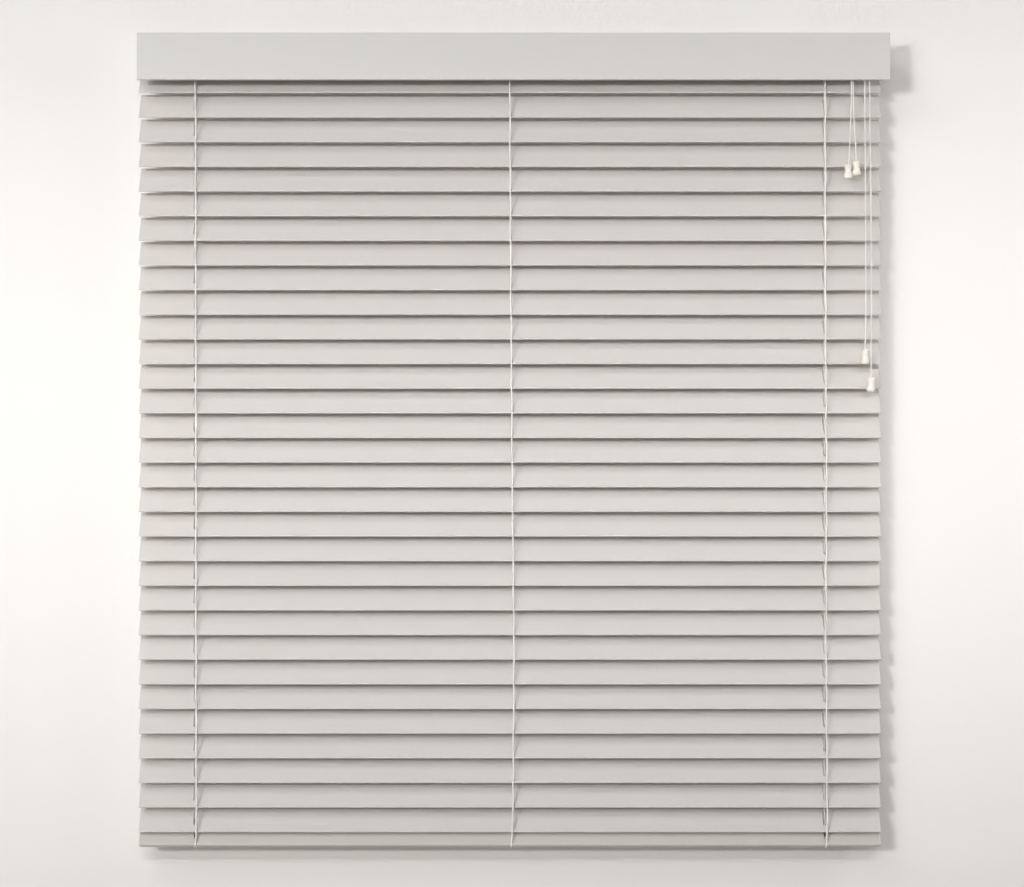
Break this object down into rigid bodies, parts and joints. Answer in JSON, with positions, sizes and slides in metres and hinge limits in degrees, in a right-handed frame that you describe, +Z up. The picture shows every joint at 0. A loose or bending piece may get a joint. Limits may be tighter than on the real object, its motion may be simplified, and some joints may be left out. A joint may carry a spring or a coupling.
{
  "type": "venetian blind",
  "caption": "Venetian blind with flat PVC slats on string ladders, a plain valance over a steel headrail, a bottom rail, and tilt and lift cords with tassels at the right.",
  "frame": {"origin": "centre of the four top fixing holes, on the brackets' top plane, above the slats' tilt axes", "axes": "+Z up, +X to the right seen from the room, +Y towards the wall"},
  "size_m": [1.201, 0.0785, 1.3022],
  "materials": {
    "slat_pvc": "satin",
    "rail_pvc": "satin",
    "rail_cap": "satin",
    "ladder_string": "woven",
    "headrail_steel": "satin",
    "moulded_plastic": "satin",
    "bracket_steel": "satin",
    "valance_pvc": "satin",
    "clip_plastic": "satin",
    "rod_steel": "zinc plated",
    "gear_plastic": "satin",
    "pawl_steel": "zinc plated",
    "cord": "braided",
    "tassel": "satin gloss"
  },
  "bodies": {
    "headrail_assembly": {"headrail": "headrail_steel", "headrail_caps": "moulded_plastic", "bracket_left": "bracket_steel", "bracket_right": "bracket_steel", "valance": "valance_pvc", "valance_clips": "clip_plastic", "drum_cradles": "moulded_plastic", "tilter_housing": "moulded_plastic", "cord_lock_body": "moulded_plastic", "lift_cord_left": "cord", "lift_cord_right": "cord", "lift_pull_left": "cord", "lift_pull_right": "cord", "lift_tassel_left": "tassel", "lift_tassel_right": "tassel", "tilt_cord_left": "cord", "tilt_cord_right": "cord"},
    "bottom_rail": {"bottom_rail": "rail_pvc", "rail_caps": "rail_cap", "rail_plugs": "rail_cap"},
    "ladder_front": {"ladder_front": "ladder_string"},
    "ladder_back": {"ladder_back": "ladder_string"},
    "tilt_shaft": {"tilt_rod": "rod_steel", "ladder_drums": "moulded_plastic", "tilt_gear": "gear_plastic"},
    "tilt_worm": {"tilt_worm": "gear_plastic"},
    "cord_lock_pawl": {"cord_lock_pawl": "pawl_steel"},
    "tilt_tassel_left": {"tilt_tassel_left": "tassel"},
    "tilt_tassel_right": {"tilt_tassel_right": "tassel"},
    "slat_01": {"slat_01": "slat_pvc"},
    "slat_02": {"slat_02": "slat_pvc"},
    "slat_03": {"slat_03": "slat_pvc"},
    "slat_04": {"slat_04": "slat_pvc"},
    "slat_05": {"slat_05": "slat_pvc"},
    "slat_06": {"slat_06": "slat_pvc"},
    "slat_07": {"slat_07": "slat_pvc"},
    "slat_08": {"slat_08": "slat_pvc"},
    "slat_09": {"slat_09": "slat_pvc"},
    "slat_10": {"slat_10": "slat_pvc"},
    "slat_11": {"slat_11": "slat_pvc"},
    "slat_12": {"slat_12": "slat_pvc"},
    "slat_13": {"slat_13": "slat_pvc"},
    "slat_14": {"slat_14": "slat_pvc"},
    "slat_15": {"slat_15": "slat_pvc"},
    "slat_16": {"slat_16": "slat_pvc"},
    "slat_17": {"slat_17": "slat_pvc"},
    "slat_18": {"slat_18": "slat_pvc"},
    "slat_19": {"slat_19": "slat_pvc"},
    "slat_20": {"slat_20": "slat_pvc"},
    "slat_21": {"slat_21": "slat_pvc"},
    "slat_22": {"slat_22": "slat_pvc"},
    "slat_23": {"slat_23": "slat_pvc"},
    "slat_24": {"slat_24": "slat_pvc"},
    "slat_25": {"slat_25": "slat_pvc"},
    "slat_26": {"slat_26": "slat_pvc"},
    "slat_27": {"slat_27": "slat_pvc"},
    "slat_28": {"slat_28": "slat_pvc"},
    "slat_29": {"slat_29": "slat_pvc"},
    "slat_30": {"slat_30": "slat_pvc"},
    "slat_31": {"slat_31": "slat_pvc"}
  },
  "joints": [
    {"name": "rail_tilt", "type": "hinge", "parent": "headrail_assembly", "child": "bottom_rail", "pos_m": [0, 0, -1.281], "axis": [-1, 0, 0], "range_deg": [-16, 120]},
    {"name": "slat_01_tilt", "type": "hinge", "parent": "headrail_assembly", "child": "slat_01", "pos_m": [0, 0, -0.073], "axis": [-1, 0, 0], "range_deg": [-16, 120]},
    {"name": "slat_02_tilt", "type": "hinge", "parent": "headrail_assembly", "child": "slat_02", "pos_m": [0, 0, -0.11253], "axis": [-1, 0, 0], "range_deg": [-16, 120]},
    {"name": "slat_03_tilt", "type": "hinge", "parent": "headrail_assembly", "child": "slat_03", "pos_m": [0, 0, -0.15206], "axis": [-1, 0, 0], "range_deg": [-16, 120]},
    {"name": "slat_04_tilt", "type": "hinge", "parent": "headrail_assembly", "child": "slat_04", "pos_m": [0, 0, -0.19159], "axis": [-1, 0, 0], "range_deg": [-16, 120]},
    {"name": "slat_05_tilt", "type": "hinge", "parent": "headrail_assembly", "child": "slat_05", "pos_m": [0, 0, -0.23112], "axis": [-1, 0, 0], "range_deg": [-16, 120]},
    {"name": "slat_06_tilt", "type": "hinge", "parent": "headrail_assembly", "child": "slat_06", "pos_m": [0, 0, -0.27065], "axis": [-1, 0, 0], "range_deg": [-16, 120]},
    {"name": "slat_07_tilt", "type": "hinge", "parent": "headrail_assembly", "child": "slat_07", "pos_m": [0, 0, -0.31018], "axis": [-1, 0, 0], "range_deg": [-16, 120]},
    {"name": "slat_08_tilt", "type": "hinge", "parent": "headrail_assembly", "child": "slat_08", "pos_m": [0, 0, -0.34971], "axis": [-1, 0, 0], "range_deg": [-16, 120]},
    {"name": "slat_09_tilt", "type": "hinge", "parent": "headrail_assembly", "child": "slat_09", "pos_m": [0, 0, -0.38924], "axis": [-1, 0, 0], "range_deg": [-16, 120]},
    {"name": "slat_10_tilt", "type": "hinge", "parent": "headrail_assembly", "child": "slat_10", "pos_m": [0, 0, -0.42877], "axis": [-1, 0, 0], "range_deg": [-16, 120]},
    {"name": "slat_11_tilt", "type": "hinge", "parent": "headrail_assembly", "child": "slat_11", "pos_m": [0, 0, -0.4683], "axis": [-1, 0, 0], "range_deg": [-16, 120]},
    {"name": "slat_12_tilt", "type": "hinge", "parent": "headrail_assembly", "child": "slat_12", "pos_m": [0, 0, -0.50783], "axis": [-1, 0, 0], "range_deg": [-16, 120]},
    {"name": "slat_13_tilt", "type": "hinge", "parent": "headrail_assembly", "child": "slat_13", "pos_m": [0, 0, -0.54736], "axis": [-1, 0, 0], "range_deg": [-16, 120]},
    {"name": "slat_14_tilt", "type": "hinge", "parent": "headrail_assembly", "child": "slat_14", "pos_m": [0, 0, -0.58689], "axis": [-1, 0, 0], "range_deg": [-16, 120]},
    {"name": "slat_15_tilt", "type": "hinge", "parent": "headrail_assembly", "child": "slat_15", "pos_m": [0, 0, -0.62642], "axis": [-1, 0, 0], "range_deg": [-16, 120]},
    {"name": "slat_16_tilt", "type": "hinge", "parent": "headrail_assembly", "child": "slat_16", "pos_m": [0, 0, -0.66595], "axis": [-1, 0, 0], "range_deg": [-16, 120]},
    {"name": "slat_17_tilt", "type": "hinge", "parent": "headrail_assembly", "child": "slat_17", "pos_m": [0, 0, -0.70548], "axis": [-1, 0, 0], "range_deg": [-16, 120]},
    {"name": "slat_18_tilt", "type": "hinge", "parent": "headrail_assembly", "child": "slat_18", "pos_m": [0, 0, -0.74501], "axis": [-1, 0, 0], "range_deg": [-16, 120]},
    {"name": "slat_19_tilt", "type": "hinge", "parent": "headrail_assembly", "child": "slat_19", "pos_m": [0, 0, -0.78454], "axis": [-1, 0, 0], "range_deg": [-16, 120]},
    {"name": "slat_20_tilt", "type": "hinge", "parent": "headrail_assembly", "child": "slat_20", "pos_m": [0, 0, -0.82407], "axis": [-1, 0, 0], "range_deg": [-16, 120]},
    {"name": "slat_21_tilt", "type": "hinge", "parent": "headrail_assembly", "child": "slat_21", "pos_m": [0, 0, -0.8636], "axis": [-1, 0, 0], "range_deg": [-16, 120]},
    {"name": "slat_22_tilt", "type": "hinge", "parent": "headrail_assembly", "child": "slat_22", "pos_m": [0, 0, -0.90313], "axis": [-1, 0, 0], "range_deg": [-16, 120]},
    {"name": "slat_23_tilt", "type": "hinge", "parent": "headrail_assembly", "child": "slat_23", "pos_m": [0, 0, -0.94266], "axis": [-1, 0, 0], "range_deg": [-16, 120]},
    {"name": "slat_24_tilt", "type": "hinge", "parent": "headrail_assembly", "child": "slat_24", "pos_m": [0, 0, -0.98219], "axis": [-1, 0, 0], "range_deg": [-16, 120]},
    {"name": "slat_25_tilt", "type": "hinge", "parent": "headrail_assembly", "child": "slat_25", "pos_m": [0, 0, -1.02172], "axis": [-1, 0, 0], "range_deg": [-16, 120]},
    {"name": "slat_26_tilt", "type": "hinge", "parent": "headrail_assembly", "child": "slat_26", "pos_m": [0, 0, -1.06125], "axis": [-1, 0, 0], "range_deg": [-16, 120]},
    {"name": "slat_27_tilt", "type": "hinge", "parent": "headrail_assembly", "child": "slat_27", "pos_m": [0, 0, -1.10078], "axis": [-1, 0, 0], "range_deg": [-16, 120]},
    {"name": "slat_28_tilt", "type": "hinge", "parent": "headrail_assembly", "child": "slat_28", "pos_m": [0, 0, -1.14031], "axis": [-1, 0, 0], "range_deg": [-16, 120]},
    {"name": "slat_29_tilt", "type": "hinge", "parent": "headrail_assembly", "child": "slat_29", "pos_m": [0, 0, -1.17984], "axis": [-1, 0, 0], "range_deg": [-16, 120]},
    {"name": "slat_30_tilt", "type": "hinge", "parent": "headrail_assembly", "child": "slat_30", "pos_m": [0, 0, -1.21937], "axis": [-1, 0, 0], "range_deg": [-16, 120]},
    {"name": "slat_31_tilt", "type": "hinge", "parent": "headrail_assembly", "child": "slat_31", "pos_m": [0, 0, -1.2589], "axis": [-1, 0, 0], "range_deg": [-16, 120]},
    {"name": "ladder_front_swing", "type": "hinge", "parent": "bottom_rail", "child": "ladder_front", "pos_m": [0, -0.01453, -1.2996], "axis": [-1, 0, 0], "range_deg": [-120, 16]},
    {"name": "ladder_back_swing", "type": "hinge", "parent": "bottom_rail", "child": "ladder_back", "pos_m": [0, 0.01453, -1.2624], "axis": [-1, 0, 0], "range_deg": [-120, 16]},
    {"name": "rod_turn", "type": "hinge", "parent": "headrail_assembly", "child": "tilt_shaft", "pos_m": [0, 0, -0.022], "axis": [-1, 0, 0], "range_deg": [-37.33, 279.96]},
    {"name": "worm_turn", "type": "hinge", "parent": "headrail_assembly", "child": "tilt_worm", "pos_m": [0.5459, 0, -0.036], "axis": [0, 1, 0], "range_deg": [-149.31, 1119.84]},
    {"name": "tilt_tassel_left_slide", "type": "slide", "parent": "headrail_assembly", "child": "tilt_tassel_left", "axis": [0, 0, 1], "range_m": [-0.01773, 0.13292], "deforming": ["tilt_cord_left"]},
    {"name": "tilt_tassel_right_slide", "type": "slide", "parent": "headrail_assembly", "child": "tilt_tassel_right", "axis": [0, 0, 1], "range_m": [-0.13292, 0.01773], "deforming": ["tilt_cord_right"]},
    {"name": "pawl_lift", "type": "hinge", "parent": "headrail_assembly", "child": "cord_lock_pawl", "pos_m": [0.572, -0.014, -0.03], "axis": [1, 0, 0], "range_deg": [0, 35]}
  ],
  "couplings": [
    {"joint": "slat_01_tilt", "follows": "rail_tilt", "ratio": 1},
    {"joint": "slat_02_tilt", "follows": "rail_tilt", "ratio": 1},
    {"joint": "slat_03_tilt", "follows": "rail_tilt", "ratio": 1},
    {"joint": "slat_04_tilt", "follows": "rail_tilt", "ratio": 1},
    {"joint": "slat_05_tilt", "follows": "rail_tilt", "ratio": 1},
    {"joint": "slat_06_tilt", "follows": "rail_tilt", "ratio": 1},
    {"joint": "slat_07_tilt", "follows": "rail_tilt", "ratio": 1},
    {"joint": "slat_08_tilt", "follows": "rail_tilt", "ratio": 1},
    {"joint": "slat_09_tilt", "follows": "rail_tilt", "ratio": 1},
    {"joint": "slat_10_tilt", "follows": "rail_tilt", "ratio": 1},
    {"joint": "slat_11_tilt", "follows": "rail_tilt", "ratio": 1},
    {"joint": "slat_12_tilt", "follows": "rail_tilt", "ratio": 1},
    {"joint": "slat_13_tilt", "follows": "rail_tilt", "ratio": 1},
    {"joint": "slat_14_tilt", "follows": "rail_tilt", "ratio": 1},
    {"joint": "slat_15_tilt", "follows": "rail_tilt", "ratio": 1},
    {"joint": "slat_16_tilt", "follows": "rail_tilt", "ratio": 1},
    {"joint": "slat_17_tilt", "follows": "rail_tilt", "ratio": 1},
    {"joint": "slat_18_tilt", "follows": "rail_tilt", "ratio": 1},
    {"joint": "slat_19_tilt", "follows": "rail_tilt", "ratio": 1},
    {"joint": "slat_20_tilt", "follows": "rail_tilt", "ratio": 1},
    {"joint": "slat_21_tilt", "follows": "rail_tilt", "ratio": 1},
    {"joint": "slat_22_tilt", "follows": "rail_tilt", "ratio": 1},
    {"joint": "slat_23_tilt", "follows": "rail_tilt", "ratio": 1},
    {"joint": "slat_24_tilt", "follows": "rail_tilt", "ratio": 1},
    {"joint": "slat_25_tilt", "follows": "rail_tilt", "ratio": 1},
    {"joint": "slat_26_tilt", "follows": "rail_tilt", "ratio": 1},
    {"joint": "slat_27_tilt", "follows": "rail_tilt", "ratio": 1},
    {"joint": "slat_28_tilt", "follows": "rail_tilt", "ratio": 1},
    {"joint": "slat_29_tilt", "follows": "rail_tilt", "ratio": 1},
    {"joint": "slat_30_tilt", "follows": "rail_tilt", "ratio": 1},
    {"joint": "slat_31_tilt", "follows": "rail_tilt", "ratio": 1},
    {"joint": "ladder_front_swing", "follows": "rail_tilt", "ratio": -1},
    {"joint": "ladder_back_swing", "follows": "rail_tilt", "ratio": -1},
    {"joint": "rod_turn", "follows": "rail_tilt", "ratio": 2.333},
    {"joint": "worm_turn", "follows": "rail_tilt", "ratio": 9.332},
    {"joint": "tilt_tassel_left_slide", "follows": "rail_tilt", "m_per_rad": 0.06346},
    {"joint": "tilt_tassel_right_slide", "follows": "rail_tilt", "m_per_rad": -0.06346}
  ]
}
